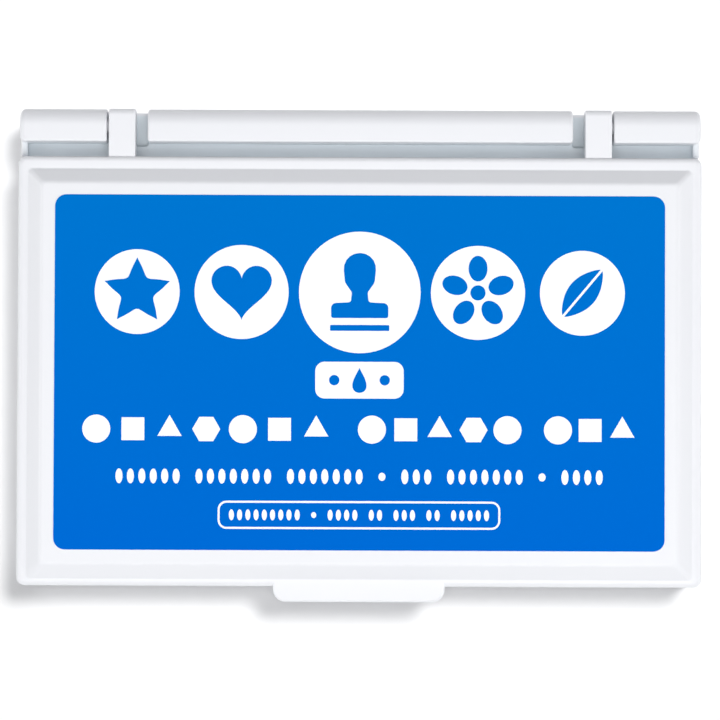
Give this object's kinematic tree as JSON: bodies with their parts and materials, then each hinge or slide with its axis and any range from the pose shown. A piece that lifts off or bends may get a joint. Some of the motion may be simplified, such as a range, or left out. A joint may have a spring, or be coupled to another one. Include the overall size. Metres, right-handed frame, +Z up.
{
  "type": "ink pad",
  "caption": "Shallow hinged plastic case with a printed label on its raised lid, a thumb tab at the front, and a cloth-covered felt ink pad in a cassette inside.",
  "frame": {"origin": "on the table, under the middle of the closed case's bounding box", "axes": "+X along the case's width, +Y from the thumb tab to the hinge, +Z up"},
  "size_m": [0.12, 0.0864, 0.0181],
  "materials": {
    "case_plastic": "moulded glossy white polystyrene",
    "label_film": "printed glossy film",
    "tray_plastic": "thermoformed satin polystyrene",
    "tape": "double-sided tape",
    "felt": "ink-soaked pressed felt",
    "pad_cloth": "ink-soaked plain-woven cotton",
    "label_paper": "coated paper"
  },
  "bodies": {
    "case_base": {"base": "case_plastic", "pad_tray": "tray_plastic", "tray_tape": "tape", "felt_reservoir": "felt", "felt_top": "felt", "pad_cloth": "pad_cloth", "underside_label": "label_paper"},
    "case_lid": {"lid": "case_plastic", "lid_label": "label_film"}
  },
  "joints": [
    {"name": "lid_hinge", "type": "hinge", "parent": "case_base", "child": "case_lid", "pos_m": [0, 0.04025, 0.0121], "axis": [-1, 0, 0], "range_deg": [0, 180]}
  ]
}
